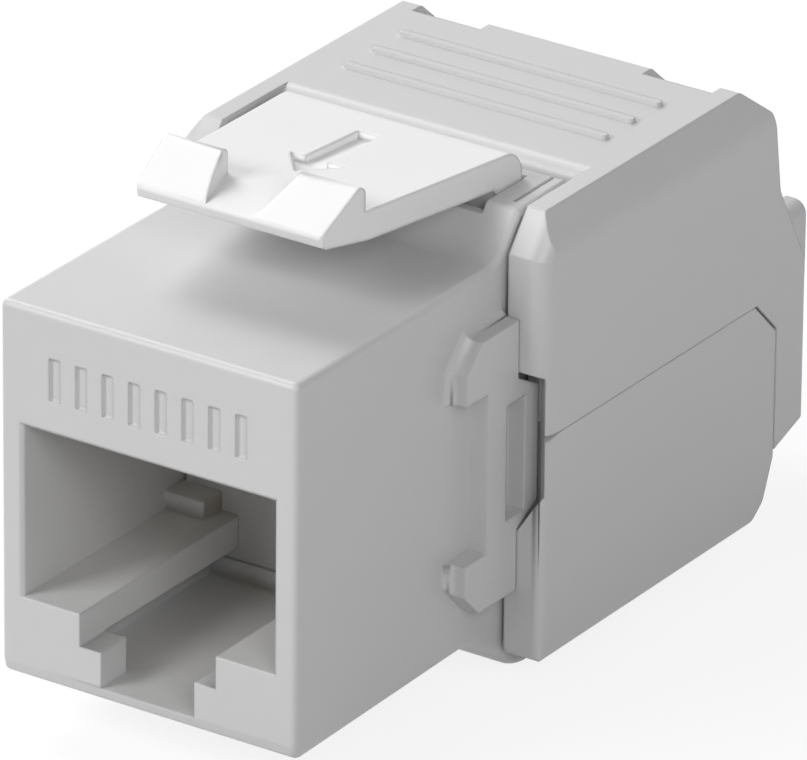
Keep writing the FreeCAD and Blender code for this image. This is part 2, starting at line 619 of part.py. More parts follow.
def lower_cover():
    shape = side_solid([
        (ARM_FACE, LOWER_SEAM - SEAM_LEAD),
        (HINGE_Y, LOWER_SEAM),
        (SEAM_STEP_Y - STEP_GAP, LOWER_SEAM),
        (SEAM_STEP_Y + SEAM_STEP - STEP_GAP, LOWER_SEAM - SEAM_STEP),
        (SEAM_STEP_Y + SEAM_STEP - STEP_GAP, LOWER_HEEL_Z),
        (SEAM_STEP_Y + SEAM_STEP / 2, COVER_BOTTOM + SEAM_STEP / 2, SEAM_STEP / 2),
        (LOWER_HEEL_Y, COVER_BOTTOM),
        (ARM_FACE, COVER_BOTTOM, FACE_ROUND),
    ], -HALF_COVER, HALF_COVER)
    section = front_solid([
        (-HALF_COVER, FAR), (HALF_COVER, FAR), (HALF_COVER, COVER_BOTTOM, FACE_ROUND),
        (-HALF_COVER, COVER_BOTTOM, FACE_ROUND)], 0, FAR)
    cover = shape.common(section).common(arm_plan(LOWER_ARM_ROUND, REAR_EDGE))
    inner = HALF_COVER - COVER_WALL
    floor = COVER_BOTTOM + COVER_WALL
    rear_wall = SEAM_STEP_Y + SEAM_STEP - STEP_GAP - COVER_WALL
    throat = block(-ARM_INNER, ARM_INNER, 0, RECESS_REAR, -FAR, FAR)
    room = side_solid([
        (RECESS_REAR, floor),
        (LOWER_HEEL_Y - COVER_WALL, floor),
        (rear_wall, LOWER_HEEL_Z),
        (rear_wall, FAR),
        (RECESS_REAR, FAR),
    ], -inner, inner)
    web_foot = WEB_MIDDLE - NOTCH_CLEARANCE
    foot_front = web_foot - WEB_HALF_FRONT
    web_room = bracket_notch([
        (ARM_FACE - MARGIN, SEAM_HEIGHT + MARGIN),
        (ARM_FACE - MARGIN, foot_front),
        (ARM_FACE, foot_front),
        (NOTCH_REAR, web_foot - WEB_HALF_REAR),
        (NOTCH_REAR, SEAM_HEIGHT + MARGIN),
    ])
    web_room = web_room.common(front_solid([
        (HALF_FACE, foot_front),
        (BRACKET_FACE, foot_front),
        (HALF_COVER, foot_front + NOTCH_RAMP),
        (HALF_COVER + MARGIN, foot_front + NOTCH_RAMP),
        (HALF_COVER + MARGIN, FAR),
        (HALF_FACE, FAR),
    ], 0, FAR))
    cover = cover.cut([throat, room, *both_sides(web_room), *hinge_bores(LOWER_HINGE_Z)])
    half_cradle = CABLE_RADIUS + CRADLE_WALL
    rim = SEAM_HEIGHT - CRADLE_DROP
    cradle = front_solid([
        (-half_cradle, rim, CRADLE_RIM_ROUND),
        (half_cradle, rim, CRADLE_RIM_ROUND),
        (half_cradle, SEAM_HEIGHT - half_cradle, CRADLE_FOOT_ROUND),
        (-half_cradle, SEAM_HEIGHT - half_cradle, CRADLE_FOOT_ROUND),
    ], rear_wall, CRADLE_REAR)
    cable = long_rod(SEAM_HEIGHT, CABLE_RADIUS, RECESS_REAR, FAR)
    cover = cover.fuse([cradle, *stuffers(floor, BLOCK_FOOT + STUFFER_REACH)])
    return cover.cut(cable).fuse(grip_ribs()).removeSplitter()


def grip_ribs():
    """Low ribs in the cradle's floor, which bite into the cable's sheath."""
    ribs = []
    for index in range(GRIP_COUNT):
        y = CRADLE_REAR - GRIP_PITCH * (index + 1)
        ring = long_rod(SEAM_HEIGHT, CABLE_RADIUS + CRADLE_WALL / 2, y, y + 2 * GRIP_RIB)
        bore = long_rod(SEAM_HEIGHT, CABLE_RADIUS - GRIP_RIB, y, y + 2 * GRIP_RIB)
        below = block(-FAR, FAR, y, y + 2 * GRIP_RIB, -FAR, SEAM_HEIGHT - CABLE_RADIUS / 2)
        ribs.append(ring.cut(bore).common(below))
    return ribs


def strip_solid(path, bend, thickness, x, width):
    """Flat strip bent in the side plane: a constant thickness along a path with one rounded bend."""
    start, corner, end = [FreeCAD.Vector(y, z, 0) for y, z in path]
    before = start - corner
    after = end - corner
    before.normalize()
    after.normalize()
    half = before.getAngle(after) / 2
    reach = bend / math.tan(half)
    bisector = before + after
    bisector.normalize()
    centre = corner + bisector * (bend / math.sin(half))
    first = corner + before * reach
    last = corner + after * reach

    def place(point):
        return FreeCAD.Vector(x - width / 2, point.x, point.y)

    edges = []
    sides = []
    for offset in (thickness / 2, -thickness / 2):
        scale = (bend + offset) / bend
        entry = centre + (first - centre) * scale
        leave = centre + (last - centre) * scale
        middle = centre - bisector * (bend + offset)
        sides.append((start + entry - first, entry, middle, leave, end + leave - last))
    outer, inner = sides
    for side in sides:
        edges.append(Part.makeLine(place(side[0]), place(side[1])))
        edges.append(Part.Arc(place(side[1]), place(side[2]), place(side[3])).toShape())
        edges.append(Part.makeLine(place(side[3]), place(side[4])))
    edges.append(Part.makeLine(place(outer[0]), place(inner[0])))
    edges.append(Part.makeLine(place(outer[4]), place(inner[4])))
    face = Part.Face(Part.Wire(Part.__sortEdges__(edges)))
    return face.extrude(FreeCAD.Vector(width, 0, 0))


def spring_contact(x, row):
    """Straight leg through the sled to the board, hairpin at the front, and the sloping spring."""
    path = [(BOARD_REAR + PIN_TAIL, CONTACT_ROWS[row]), (CONTACT_FRONT, CONTACT_ROWS[row]),
            (CONTACT_TIP_Y, CONTACT_TIP_Z)]
    return strip_solid(path, CONTACT_BENDS[row], CONTACT_THICKNESS, x, CONTACT_WIDTH)


def contact_sled():
    """Carrier over the port, with a groove for each contact, and a back wall with a comb."""
    half_width = SLED_WIDTH / 2
    half_back = HALF_PORT - SLED_CLEARANCE
    back_front = BOARD_FRONT - SLED_BACK_WALL
    carrier = block(-half_width, half_width, SLED_FRONT, BOARD_FRONT, SLED_CEILING, SLED_ROOF)
    back = block(-half_back, half_back, back_front, BOARD_FRONT, POCKET_FLOOR + SLED_FOOT_CLEARANCE,
                 SLED_ROOF)
    half_groove = CONTACT_WIDTH / 2 + GROOVE_CLEARANCE
    half_strip = CONTACT_THICKNESS / 2 + GROOVE_CLEARANCE
    cuts = []
    for x, row in contact_places():
        cuts.append(block(x - half_groove, x + half_groove, SLED_FRONT, BOARD_FRONT,
                          CONTACT_ROWS[row] - half_strip, CONTACT_ROWS[row] + half_strip))
        cuts.append(block(x - half_groove, x + half_groove, SLED_FRONT, back_front,
                          SLED_CEILING, CONTACT_ROWS[row]))
        cuts.append(block(x - half_groove, x + half_groove, back_front, back_front + COMB_DEPTH,
                          SLED_CEILING - COMB_HEIGHT - half_strip, SLED_CEILING))
    return carrier.fuse(back).cut(cuts).removeSplitter()


def circuit_board():
    """Board with a hole for every contact tail and every blade pin."""
    half_width = HALF_PORT - BOARD_CLEARANCE
    board = block(-half_width, half_width, BOARD_FRONT, BOARD_REAR,
                  POCKET_FLOOR + BOARD_CLEARANCE, POCKET_ROOF - BOARD_CLEARANCE)
    half_contact = CONTACT_WIDTH / 2 + PIN_HOLE_CLEARANCE
    half_strip = CONTACT_THICKNESS / 2 + PIN_HOLE_CLEARANCE
    half_pin = BLADE_PIN / 2 + PIN_HOLE_CLEARANCE
    holes = []
    for x, row in contact_places():
        z = CONTACT_ROWS[row]
        holes.append(block(x - half_contact, x + half_contact, BOARD_FRONT, BOARD_REAR,
                           z - half_strip, z + half_strip))
    for x, blade_y in wire_places():
        for z in (SEAM_HEIGHT + BLADE_PIN_RISE, SEAM_HEIGHT - BLADE_PIN_RISE):
            holes.append(block(x - half_pin, x + half_pin, BOARD_FRONT, BOARD_REAR,
                               z - half_pin, z + half_pin))
    return board.cut(holes)


def terminal_block():
    """Block behind the board: wire channels above and below, blade slots and pin tunnels."""
    half_width = BLOCK_WIDTH / 2
    half_front = HALF_PORT - BLOCK_CLEARANCE
    body = block(-half_width, half_width, HOUSING_REAR, BLOCK_REAR, BLOCK_FOOT, BLOCK_TOP)
    front = block(-half_front, half_front, BLOCK_FRONT, HOUSING_REAR,
                  POCKET_FLOOR + BLOCK_CLEARANCE, POCKET_ROOF - BLOCK_CLEARANCE)
    post = block(half_front - BLOCK_POST_WIDTH, half_front, BOARD_REAR, BLOCK_FRONT,
                 POCKET_FLOOR + BLOCK_CLEARANCE, POCKET_ROOF - BLOCK_CLEARANCE)
    half_slot = BLADE_WIDTH / 2 + BLADE_CLEARANCE
    half_thick = BLADE_THICKNESS / 2 + BLADE_CLEARANCE
    half_tunnel = BLADE_PIN / 2 + BLADE_CLEARANCE
    cuts = []
    for x, blade_y in wire_places():
        for side in (1, -1):
            face_z = SEAM_HEIGHT + side * BLOCK_HALF_HEIGHT
            root_z = SEAM_HEIGHT + side * (BLADE_ROOT - BLADE_CLEARANCE)
            floor_z = face_z - side * CHANNEL_CUT_DEPTH
            pin_z = SEAM_HEIGHT + side * BLADE_PIN_RISE
            cuts.append(block(x - CHANNEL_CUT_WIDTH / 2, x + CHANNEL_CUT_WIDTH / 2, CHANNEL_CUT_START,
                              BLOCK_REAR, min(floor_z, face_z), max(floor_z, face_z)))
            cuts.append(block(x - half_slot, x + half_slot, blade_y - half_thick, blade_y + half_thick,
                              min(root_z, face_z), max(root_z, face_z)))
            cuts.append(block(x - half_tunnel, x + half_tunnel, BLOCK_FRONT, blade_y,
                              pin_z - half_tunnel, pin_z + half_tunnel))
    peg_room = block(-PEG_WIDTH / 2 - BLOCK_CLEARANCE / 2, PEG_WIDTH / 2 + BLOCK_CLEARANCE / 2,
                     BLOCK_REAR - PEG_LENGTH - BLOCK_CLEARANCE, BLOCK_REAR,
                     SEAM_HEIGHT - SEPARATOR_THICKNESS / 2 - BLOCK_CLEARANCE / 2,
                     SEAM_HEIGHT + SEPARATOR_THICKNESS / 2 + BLOCK_CLEARANCE / 2)
    return body.fuse([front, *both_sides(post)]).cut([*cuts, peg_room]).removeSplitter()


def blade(x, blade_y, side):
    """Forked blade with bevelled tips, standing in the block, and its pin forward to the board."""
    tip = BLOCK_HALF_HEIGHT + BLADE_PROUD
    half_width = BLADE_WIDTH / 2
    half_slot = BLADE_SLOT / 2
    half_channel = CHANNEL_CUT_WIDTH / 2
    corners = [
        (x - half_width, SEAM_HEIGHT + side * BLADE_ROOT),
        (x + half_width, SEAM_HEIGHT + side * BLADE_ROOT),
        (x + half_width, SEAM_HEIGHT + side * (tip - half_channel)),
        (x + half_channel, SEAM_HEIGHT + side * tip),
        (x + half_slot, SEAM_HEIGHT + side * (tip - half_channel)),
        (x + half_slot, SEAM_HEIGHT + side * (tip - BLADE_SLOT_DEPTH)),
        (x - half_slot, SEAM_HEIGHT + side * (tip - BLADE_SLOT_DEPTH)),
        (x - half_slot, SEAM_HEIGHT + side * (tip - half_channel)),
        (x - half_channel, SEAM_HEIGHT + side * tip),
        (x - half_width, SEAM_HEIGHT + side * (tip - half_channel)),
    ]
    plate = front_solid(corners, blade_y - BLADE_THICKNESS / 2, blade_y + BLADE_THICKNESS / 2)
    pin_z = SEAM_HEIGHT + side * BLADE_PIN_RISE
    pin = block(x - BLADE_PIN / 2, x + BLADE_PIN / 2, BOARD_FRONT + BLADE_PIN_SHORT, blade_y,
                pin_z - BLADE_PIN / 2, pin_z + BLADE_PIN / 2)
    return plate.fuse(pin).removeSplitter()


def pair_separator():
    """Cross with a tapered nose behind the block, which parts the wire pairs up and down."""
    half = SEPARATOR_THICKNESS / 2
    level = plan_solid([
        (-SEPARATOR_HALF_WIDTH, BLOCK_REAR), (SEPARATOR_HALF_WIDTH, BLOCK_REAR),
        (SEPARATOR_NOSE, SEPARATOR_REAR, half), (-SEPARATOR_NOSE, SEPARATOR_REAR, half),
    ], SEAM_HEIGHT - half, SEAM_HEIGHT + half)
    upright = side_solid([
        (BLOCK_REAR, SEAM_HEIGHT - SEPARATOR_HALF_HEIGHT),
        (BLOCK_REAR, SEAM_HEIGHT + SEPARATOR_HALF_HEIGHT),
        (SEPARATOR_REAR, SEAM_HEIGHT + half + SEPARATOR_TIP, half),
        (SEPARATOR_REAR, SEAM_HEIGHT - half - SEPARATOR_TIP, half),
    ], -half, half)
    peg = block(-PEG_WIDTH / 2, PEG_WIDTH / 2, BLOCK_REAR - PEG_LENGTH, BLOCK_REAR,
                SEAM_HEIGHT - half, SEAM_HEIGHT + half)
    return level.fuse([upright, peg]).removeSplitter()


def all_nodes():
    nodes = {
        "front_housing": front_housing(),
        "snap_latch": snap_latch(),
        "upper_cover": upper_cover(),
        "lower_cover": lower_cover(),
        "contact_sled": contact_sled(),
        "circuit_board": circuit_board(),
        "terminal_block": terminal_block(),
        "pair_separator": pair_separator(),
    }
    for number, (x, row) in enumerate(contact_places(), start=1):
        nodes[f"spring_contact_{number}"] = spring_contact(x, row)
    number = 0
    for side in (1, -1):
        for x, blade_y in wire_places():
            number += 1
            nodes[f"terminal_blade_{number}"] = blade(x, blade_y, side)
    return nodes


os.makedirs("parts", exist_ok=True)
for name, shape in all_nodes().items():
    shape.exportStep(f"parts/{name}.step")
    print(name, "solids", len(shape.Solids), "volume", round(shape.Volume, 2), "valid", shape.isValid())
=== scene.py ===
import json
import math

import bpy
from mathutils import Matrix, Vector


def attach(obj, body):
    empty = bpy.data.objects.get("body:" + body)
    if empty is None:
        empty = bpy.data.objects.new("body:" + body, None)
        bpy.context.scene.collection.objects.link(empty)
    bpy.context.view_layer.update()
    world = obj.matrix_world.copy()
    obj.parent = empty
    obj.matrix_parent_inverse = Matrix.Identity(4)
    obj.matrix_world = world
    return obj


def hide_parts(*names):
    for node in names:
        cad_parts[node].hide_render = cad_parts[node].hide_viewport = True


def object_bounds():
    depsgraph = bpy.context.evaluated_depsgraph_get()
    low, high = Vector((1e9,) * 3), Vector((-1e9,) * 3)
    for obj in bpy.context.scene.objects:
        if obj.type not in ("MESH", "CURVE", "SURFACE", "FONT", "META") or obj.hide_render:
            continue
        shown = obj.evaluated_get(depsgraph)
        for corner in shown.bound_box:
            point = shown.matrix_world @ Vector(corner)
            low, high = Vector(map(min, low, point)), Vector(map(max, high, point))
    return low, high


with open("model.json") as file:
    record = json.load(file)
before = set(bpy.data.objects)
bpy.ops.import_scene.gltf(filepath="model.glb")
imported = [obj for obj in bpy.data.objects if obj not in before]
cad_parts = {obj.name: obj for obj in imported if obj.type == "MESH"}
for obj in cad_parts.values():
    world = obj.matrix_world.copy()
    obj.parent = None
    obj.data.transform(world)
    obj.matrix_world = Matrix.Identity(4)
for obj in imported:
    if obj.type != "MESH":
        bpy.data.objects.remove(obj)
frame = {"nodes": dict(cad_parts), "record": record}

MM = 0.001

# Camera, solved from the straight edges of the photograph
AZIMUTH = 33.796
ELEVATION = 25.023
ROLL = 0.554
CAMERA_RIGHT = 10.345 * MM
CAMERA_UP = 13.453 * MM
CAMERA_BACK = 492.2 * MM
CAMERA_SEES = (0.01, 10)
SENSOR = 36.0
LENS = 543.68

# Mouldings: how a solid's triangles become clean faces, and how those are shaded
MERGE = 0.002 * MM
FLAT = math.radians(0.5)
SMOOTH = math.radians(24)
LARGE_FACE_WEIGHT = 100

# Seam between the covers: the lower one's rim and rear wall come up to the upper one
SEAM_CLOSING = 0.06 * MM
SEAM_FRONT = 15.9 * MM
SEAM_RIM = (8.7 * MM, 9.0 * MM)
SEAM_REAR = (32.28 * MM, 32.32 * MM)

# Foot of the front face, which reaches a little lower than the solid's wide rounding
FOOT_DROP = 0.17 * MM
FOOT_REAR = 11 * MM
FOOT_TOP = 0.26 * MM

# Latch's top plane: its height over one place along the jack, and its pitch
LATCH_REAR = 17.4 * MM
LATCH_REAR_TOP = 19.62 * MM
LATCH_PITCH = math.radians(4.57)

# Arrow engraved in the latch, pointing to the plug side
ARROW_DEPTH = 0.3 * MM
ARROW_TIP = 10.35 * MM
ARROW_BARBS = 12.05 * MM
ARROW_TAIL = 15.8 * MM
ARROW_HEAD_WIDTH = 2.75 * MM
ARROW_SHAFT_LEFT = -0.65 * MM
ARROW_SHAFT_RIGHT = 0.42 * MM
ARROW_SHAFT_SPARE = 0.1 * MM

# Row of contact marks engraved above the port
MARK_COUNT = 8
MARK_PITCH = 1.3 * MM
MARK_WIDTH = 0.55 * MM
MARK_DEPTH = 0.15 * MM
MARK_LOW = 12.6 * MM
MARK_HIGH = 14.5 * MM
MARK_ROUND = 0.06 * MM

# Plastics: grey levels, roughness and refractive index
HOUSING_GREY = 0.62
LATCH_WHITE = 0.88
INNER_GREY = 0.55
SATIN = 0.37
MATT = 0.5
PLASTIC_IOR = 1.49

# Plastics: size of each kind of mark
FLOW_SIZE = 6 * MM
CLOUD_SIZE = 1.4 * MM
SPECK_SIZE = 0.16 * MM
SCUFF_SIZE = 0.5 * MM
GRAIN_SIZE = 0.07 * MM
RIPPLE_SIZE = 0.9 * MM
FLOW_STRETCH = (1, 0.35, 1)
SCUFF_STRETCH = (1, 0.12, 1)
SCUFF_EDGE = (0.62, 0.8)

# Plastics: how much each mark changes the colour, the roughness and the relief
COLOUR_SPREAD = 0.04
FLOW_COLOUR = 0.30
CLOUD_COLOUR = 0.25
SPECK_COLOUR = 0.25
CLOUD_ROUGHNESS = 0.12
SPECK_ROUGHNESS = 0.10
SCUFF_POLISH = 0.05
GRAIN_HEIGHT = 0.9
RIPPLE_HEIGHT = 1.2
SCUFF_HEIGHT = 0.3
PLASTIC_RELIEF = 0.004 * MM

# Plastics: radius over which the edges are softened
EDGE_SOFTNESS = 0.15 * MM
LATCH_SOFTNESS = 0.24 * MM
SOFTNESS_SAMPLES = 6

# Wire colours beside the terminal channels, first channel on the left
WIRE_PITCH = 3.4 * MM
WIRES_PER_SIDE = 4
ORANGE = (0.80, 0.24, 0.03)
GREEN = (0.03, 0.30, 0.09)
BLUE = (0.03, 0.12, 0.55)
BROWN = (0.22, 0.09, 0.03)
UPPER_WIRES = (ORANGE, ORANGE, GREEN, GREEN)
LOWER_WIRES = (BLUE, BLUE, BROWN, BROWN)
STRIPE_WHITE = 0.8
STRIPE_PITCH = 0.47 * MM
STRIPE_EDGE = (-0.1, 0.1)
STRIPED_HALF = (0.49, 0.51)

# Where the wire colours are printed on the block; beside the channel is in shares of the pitch
BLOCK_MIDDLE = 8.9 * MM
BLOCK_HALF_HEIGHT = 5.85 * MM
BLOCK_REAR = 27.6 * MM
PATCH_BESIDE = (0.19, 0.37)
PATCH_BESIDE_BLUR = 0.01
PATCH_FROM_REAR = (1.9 * MM, 0.5 * MM)
PATCH_END_BLUR = 0.04 * MM
PATCH_SKIN = 0.1 * MM
PATCH_SKIN_BLUR = 0.01 * MM

# Contact and blade metal: lines along the wire, and plating up to a place along the jack
GOLD = (0.83, 0.60, 0.25, 1)
GOLD_BARE = (0.75, 0.66, 0.48, 1)
GOLD_END = 12.5 * MM
TIN = (0.70, 0.70, 0.68, 1)
TIN_BARE = (0.62, 0.60, 0.55, 1)
TIN_END = 20 * MM
PLATE_EDGE = 0.3 * MM
LINE_SIZE = 0.05 * MM
LINE_STRETCH = (1, 0.06, 0.3)
LINE_RELIEF = 0.003 * MM
METAL_ROUGHNESS = 0.2
LINE_ROUGHNESS = 0.16

# Circuit board: solder mask, copper tracks under it and the weave of the laminate
MASK_GREEN = (0.012, 0.10, 0.04, 1)
TRACK_GREEN = (0.03, 0.20, 0.08, 1)
WEAVE_GREEN = (0.02, 0.14, 0.06, 1)
MASK_ROUGHNESS = 0.35
TRACK_PITCH = 0.9 * MM
TRACK_EDGE = (0.1, 0.35)
TRACK_SWAY = 1.2 * MM
SWAY_SIZE = 3 * MM
WEAVE_SIZE = 0.25 * MM
WEAVE_COLOUR = 0.3
TRACK_HEIGHT = 0.7
WEAVE_HEIGHT = 0.2
BOARD_RELIEF = 0.03 * MM

# Light: each lamp's place, size and power
SKY = 0.22
LAMPS = {
    "front_left": ((-0.30, -0.45, 0.40), 0.30, 2.35),
    "front_right": ((0.20, -0.15, 0.15), 0.12, 0.24),
    "behind_left": ((-0.42, 0.22, 0.40), 0.24, 1.90),
}
LAMP_TARGET = (0, 15 * MM, 8 * MM)

# Floor
FLOOR_SIZE = 0.6
FLOOR_GREY = 0.6
FLOOR_SPREAD = 0.02
FLOOR_ROUGHNESS = 0.9
FLOOR_GLOW = 0.7
FLOOR_WHITE = 1.2
MOTTLE_SIZE = 25 * MM


class Value:
    """A socket of a material, with arithmetic: each operator adds the Math node it stands for."""

    def __init__(self, nodes, socket):
        self.nodes = nodes
        self.socket = socket

    def maths(self, operation, *terms):
        return self.nodes.node("ShaderNodeMath", {"operation": operation}, dict(enumerate(terms)))

    def __add__(self, other):
        return self.maths("ADD", self, other)

    __radd__ = __add__

    def __sub__(self, other):
        return self.maths("SUBTRACT", self, other)

    def __rsub__(self, other):
        return self.maths("SUBTRACT", other, self)

    def __mul__(self, other):
        return self.maths("MULTIPLY", self, other)

    __rmul__ = __mul__

    def __abs__(self):
        return self.maths("ABSOLUTE", self)

    def over(self, low, high):
        """0 below low, 1 above high and smooth between."""
        settings = {"interpolation_type": "SMOOTHSTEP"}
        return self.nodes.node("ShaderNodeMapRange", settings, {0: self, 1: low, 2: high})

    def within(self, low, high, blur):
        """1 between low and high, 0 outside."""
        return self.over(low, low + blur) * (1 - self.over(high - blur, high))

    def wave(self):
        return self.maths("SINE", self)

    def remainder(self):
        return self.maths("FRACT", self)

    def larger(self, other):
        return self.maths("MAXIMUM", self, other)


class Nodes:
    """A node tree that is filled through one method."""

    def __init__(self, owner):
        owner.use_nodes = True
        self.tree = owner.node_tree
        self.tree.nodes.clear()

    def node(self, kind, settings, inputs, output=0):
        """Add a node: settings first, then inputs as values or links; one output comes back."""
        made = self.tree.nodes.new(kind)
        for key, value in settings.items():
            if key == "stops":
                self.set_stops(made.color_ramp, value)
            else:
                setattr(made, key, value)
        for key, value in inputs.items():
            self.feed(made.inputs[key], value)
        return Value(self, made.outputs[output]) if made.outputs else None

    def seen(self):
        """1 for the rays of the camera, mirrors and clear parts, which see the background."""
        camera, mirror, clear = (
            self.node("ShaderNodeLightPath", {}, {}, output=f"Is {ray} Ray")
            for ray in ("Camera", "Glossy", "Transmission"))
        return camera.larger(mirror).larger(clear)

    def feed(self, socket, value):
        if isinstance(value, Value):
            self.tree.links.new(value.socket, socket)
        else:
            socket.default_value = value

    def set_stops(self, ramp, stops):
        ramp.interpolation = "CONSTANT"
        while len(ramp.elements) < len(stops):
            ramp.elements.new(0.5)
        for element, (position, colour) in zip(ramp.elements, stops):
            element.position = position
            element.color = (*colour, 1)


class Finish(Nodes):
    """One material: a Principled surface and the nodes that feed it."""

    def __init__(self, name, **surface):
        self.material = bpy.data.materials.new(name)
        super().__init__(self.material)
        self.shader = self.node("ShaderNodeBsdfPrincipled", {}, surface)
        self.surface = self.shader.socket.node
        self.place = self.node("ShaderNodeTexCoord", {}, {}, output="Object")
        self.x, self.y, self.z = (
            self.node("ShaderNodeSeparateXYZ", {}, {0: self.place}, output=axis) for axis in "XYZ")

    def noise(self, size, detail=2.0, roughness=0.5, stretch=(1, 1, 1)):
        """Noise with features about `size` metres across, 0 to 1."""
        place = self.node("ShaderNodeMapping", {}, {"Vector": self.place, "Scale": stretch})
        return self.node("ShaderNodeTexNoise", {}, {
            "Vector": place, "Scale": 1 / size, "Detail": detail, "Roughness": roughness})

    def mix(self, amount, first, second):
        """Colour that goes from first to second."""
        inputs = {0: amount, 6: first, 7: second}
        return self.node("ShaderNodeMix", {"data_type": "RGBA"}, inputs, output=2)

    def colour(self, value):
        self.feed(self.surface.inputs["Base Color"], value)

    def roughness(self, value):
        self.feed(self.surface.inputs["Roughness"], value)

    def relief(self, height, depth, soften=None):
        """Bump of `height` times `depth` metres, over edges softened by the given radius."""
        inputs = {"Height": height, "Distance": depth, "Strength": 1.0}
        if soften:
            inputs["Normal"] = self.node(
                "ShaderNodeBevel", {"samples": SOFTNESS_SAMPLES}, {"Radius": soften})
        self.feed(self.surface.inputs["Normal"], self.node("ShaderNodeBump", {}, inputs))

    def done(self, shader=None):
        """Send the shader to the output; the material comes back."""
        self.node("ShaderNodeOutputMaterial", {}, {"Surface": shader or self.shader})
        return self.material


def grey(level):
    return (level, level, level, 1)


def plastic(finish, level, gloss, softness):
    """Moulded plastic: faint flow marks, a fine spark-eroded grain and scuffs. Gives its colour."""
    flow = finish.noise(FLOW_SIZE, detail=3, stretch=FLOW_STRETCH) - 0.5
    cloud = finish.noise(CLOUD_SIZE, detail=4, roughness=0.6) - 0.5
    speck = finish.noise(SPECK_SIZE) - 0.5
    shade = flow * FLOW_COLOUR + cloud * CLOUD_COLOUR + speck * SPECK_COLOUR + 0.5
    scuff = finish.noise(
        SCUFF_SIZE, detail=5, roughness=0.7, stretch=SCUFF_STRETCH).over(*SCUFF_EDGE)
    finish.roughness(
        gloss + cloud * CLOUD_ROUGHNESS + speck * SPECK_ROUGHNESS - scuff * SCUFF_POLISH)
    grain = finish.noise(GRAIN_SIZE, roughness=0.6)
    ripple = finish.noise(RIPPLE_SIZE)
    height = grain * GRAIN_HEIGHT + ripple * RIPPLE_HEIGHT - scuff * SCUFF_HEIGHT
    finish.relief(height, PLASTIC_RELIEF, soften=softness)
    return finish.mix(
        shade, grey(level * (1 - COLOUR_SPREAD)), grey(level * (1 + COLOUR_SPREAD)))


def moulded_plastic(name, level, gloss=SATIN, softness=EDGE_SOFTNESS):
    finish = Finish(name, IOR=PLASTIC_IOR)
    finish.colour(plastic(finish, level, gloss, softness))
    return finish.done()


def terminal_plastic(name, level):
    """Plastic with printed wire colours beside each channel, every other one striped."""
    finish = Finish(name, IOR=PLASTIC_IOR)
    base = plastic(finish, level, MATT, EDGE_SOFTNESS)
    across = (finish.x + WIRE_PITCH * WIRES_PER_SIDE / 2) * (1 / WIRE_PITCH)
    upper, lower = (
        finish.node("ShaderNodeValToRGB", {"stops": [
            (index / WIRES_PER_SIDE, colour) for index, colour in enumerate(colours)]},
            {0: across * (1 / WIRES_PER_SIDE)})
        for colours in (UPPER_WIRES, LOWER_WIRES))
    ink = finish.mix(finish.z.over(BLOCK_MIDDLE - MM, BLOCK_MIDDLE + MM), lower, upper)
    striped = (across * 0.5).remainder().over(*STRIPED_HALF)
    stripe = (finish.y * (2 * math.pi / STRIPE_PITCH)).wave().over(*STRIPE_EDGE)
    ink = finish.mix(striped * stripe, ink, grey(STRIPE_WHITE))
    beside = abs(across.remainder() - 0.5).within(*PATCH_BESIDE, PATCH_BESIDE_BLUR)
    low, high = (BLOCK_REAR - distance for distance in PATCH_FROM_REAR)
    along = finish.y.within(low, high, PATCH_END_BLUR)
    skin = BLOCK_HALF_HEIGHT - PATCH_SKIN
    outside = abs(finish.z - BLOCK_MIDDLE).over(skin - PATCH_SKIN_BLUR, skin)
    finish.colour(finish.mix(beside * along * outside, base, ink))
    return finish.done()


def contact_metal(name, plated, bare, plate_end):
    """Rolled metal wire: fine lengthwise lines, and plating over the working stretch."""
    finish = Finish(name, Metallic=1.0)
    lines = finish.noise(LINE_SIZE, detail=3, stretch=LINE_STRETCH)
    plating = (plate_end - finish.y + (lines - 0.5) * PLATE_EDGE).over(0.0, PLATE_EDGE)
    finish.colour(finish.mix(plating, bare, plated))
    finish.roughness(METAL_ROUGHNESS + lines * LINE_ROUGHNESS)
    finish.relief(lines, LINE_RELIEF)
    return finish.done()


def circuit_laminate(name):
    """Solder mask over copper tracks that run up and down between the pin rows."""
    finish = Finish(name, Roughness=MASK_ROUGHNESS)
    sway = finish.noise(SWAY_SIZE, detail=1)
    across = (finish.x + sway * TRACK_SWAY) * (2 * math.pi / TRACK_PITCH)
    track = across.wave().over(*TRACK_EDGE)
    weave = finish.noise(WEAVE_SIZE)
    mask = finish.mix(track, MASK_GREEN, TRACK_GREEN)
    finish.colour(finish.mix(weave * WEAVE_COLOUR, mask, WEAVE_GREEN))
    finish.relief(track * TRACK_HEIGHT + weave * WEAVE_HEIGHT, BOARD_RELIEF)
    return finish.done()


def pale_floor(name):
    """Pale floor, near white to the camera, mirrors and clear parts, with the object's shadow."""
    finish = Finish(name, Roughness=FLOOR_ROUGHNESS)
    mottle = finish.noise(MOTTLE_SIZE)
    finish.colour(finish.mix(
        mottle, grey(FLOOR_GREY * (1 - FLOOR_SPREAD)), grey(FLOOR_GREY * (1 + FLOOR_SPREAD))))
    white = finish.node(
        "ShaderNodeEmission", {}, {"Color": grey(1), "Strength": FLOOR_WHITE})
    return finish.done(finish.node("ShaderNodeMixShader", {}, {
        0: finish.seen() * FLOOR_GLOW, 1: finish.shader, 2: white}))


def select_only(piece):
    bpy.ops.object.select_all(action="DESELECT")
    piece.select_set(True)
    bpy.context.view_layer.objects.active = piece


